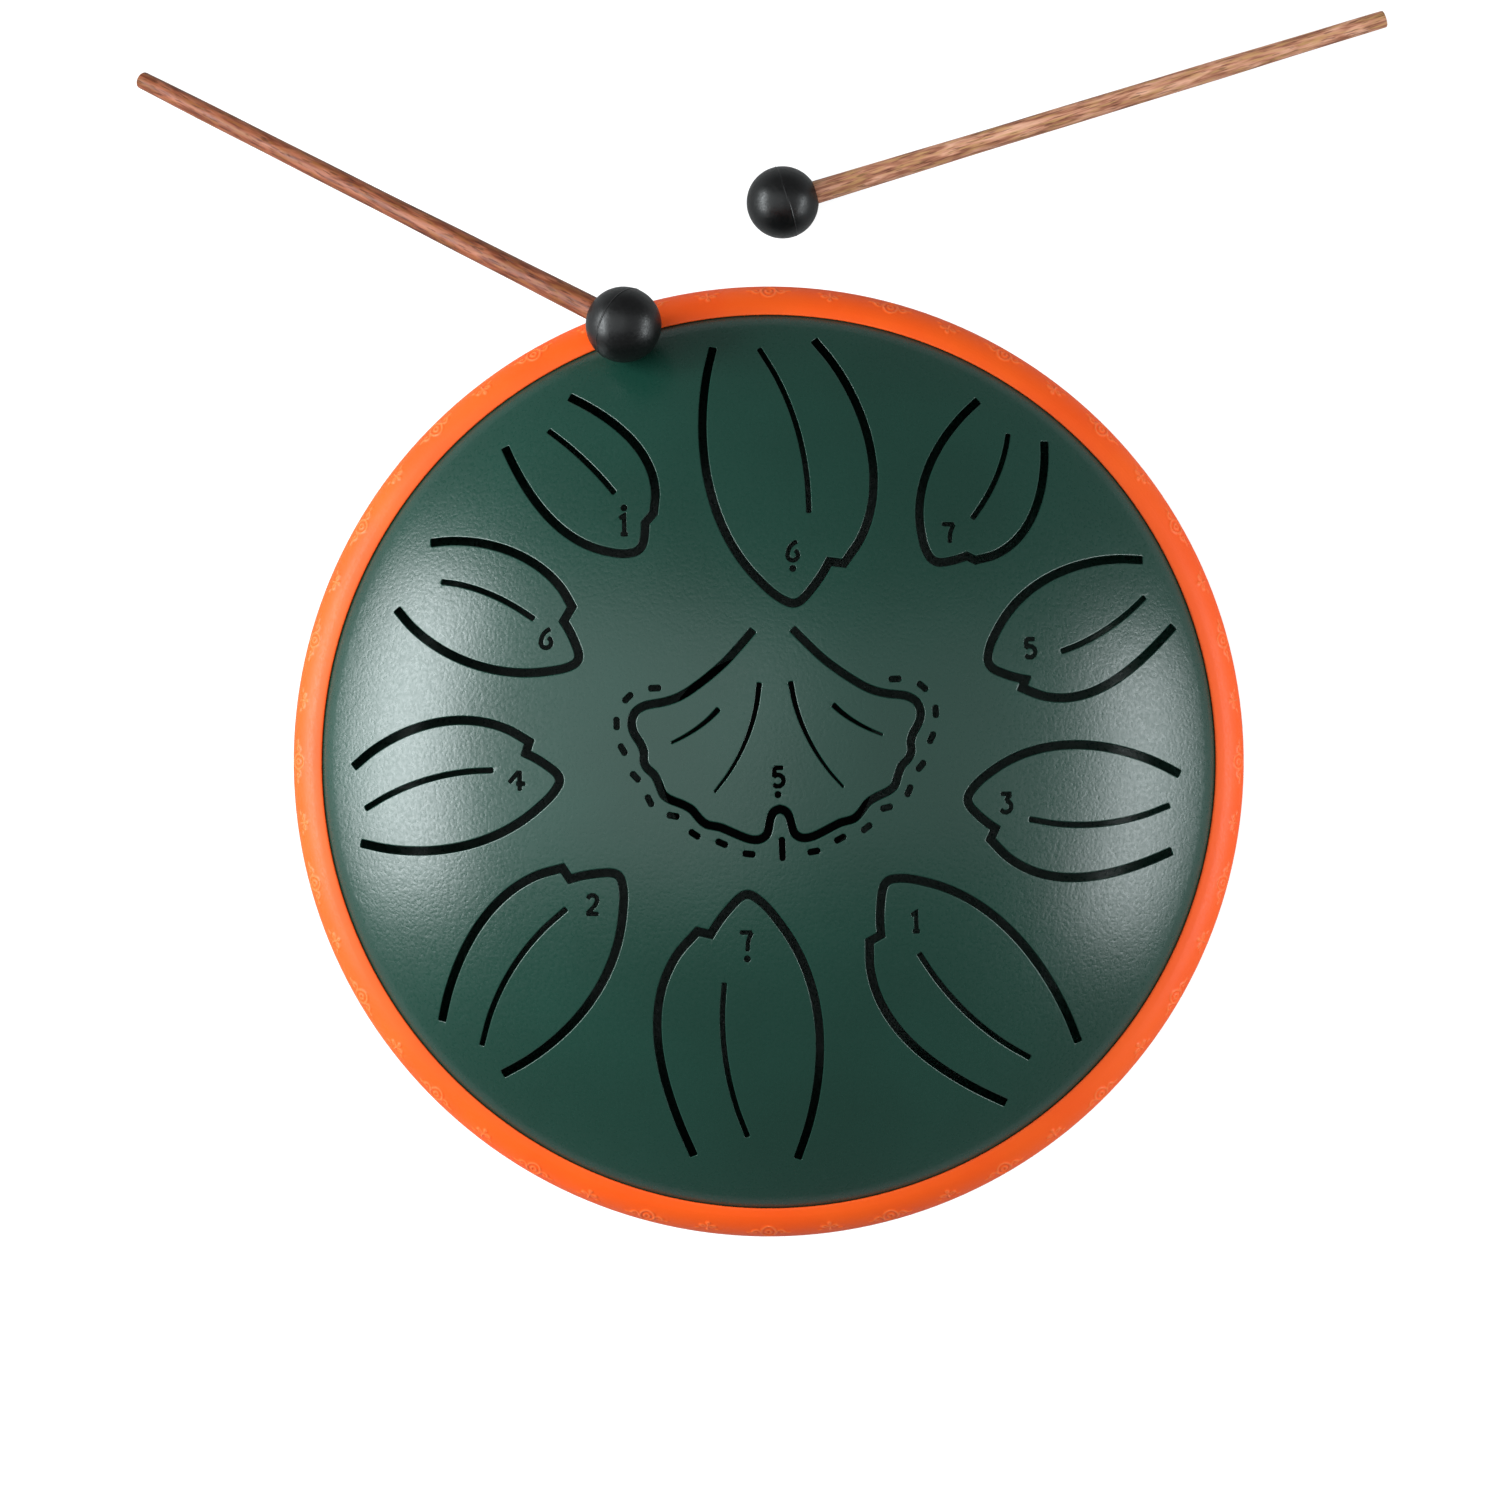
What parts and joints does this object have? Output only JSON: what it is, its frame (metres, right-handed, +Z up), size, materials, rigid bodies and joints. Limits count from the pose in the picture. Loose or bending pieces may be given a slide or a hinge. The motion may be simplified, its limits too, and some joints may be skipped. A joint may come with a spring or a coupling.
{
  "type": "steel tongue drum",
  "caption": "Steel tongue drum with leaf-shaped tongues, a rubber rim ring, rubber feet and a pair of ball-headed mallets.",
  "frame": {"origin": "middle of the sound hole, on the outside of the drum's flat base; the feet reach below it", "axes": "+Z up along the drum's axis; +Y points to the top of the picture and +X to its right"},
  "size_m": [0.3484, 0.3362, 0.118],
  "materials": {
    "green_coat": "matte dark green powder coat with a fine pebbled texture",
    "orange_rubber": "satin orange silicone rubber",
    "weld_steel": "bare weld bead, ground by hand",
    "foot_rubber": "matte black rubber",
    "zinc_steel": "zinc-plated steel",
    "stick_wood": "reddish-brown oiled wood",
    "ball_rubber": "smooth black rubber"
  },
  "bodies": {
    "drum": {"top_shell": "green_coat", "bottom_shell": "green_coat", "rim_ring": "orange_rubber", "flange_weld": "weld_steel", "foot_1": "foot_rubber", "foot_2": "foot_rubber", "foot_3": "foot_rubber", "foot_4": "foot_rubber", "foot_screw_1": "zinc_steel", "foot_screw_2": "zinc_steel", "foot_screw_3": "zinc_steel", "foot_screw_4": "zinc_steel", "foot_washer_1": "zinc_steel", "foot_washer_2": "zinc_steel", "foot_washer_3": "zinc_steel", "foot_washer_4": "zinc_steel", "foot_nut_1": "zinc_steel", "foot_nut_2": "zinc_steel", "foot_nut_3": "zinc_steel", "foot_nut_4": "zinc_steel"},
    "mallet_left": {"mallet_left_stick": "stick_wood", "mallet_left_head": "ball_rubber"},
    "mallet_right": {"mallet_right_stick": "stick_wood", "mallet_right_head": "ball_rubber"}
  },
  "joints": [
    {"name": "mallet_left_lift", "type": "slide", "parent": "drum", "child": "mallet_left", "axis": [0, 0, 1], "range_m": [0, 0.15]},
    {"name": "mallet_right_lift", "type": "slide", "parent": "drum", "child": "mallet_right", "axis": [0, 0, 1], "range_m": [0, 0.15]}
  ]
}
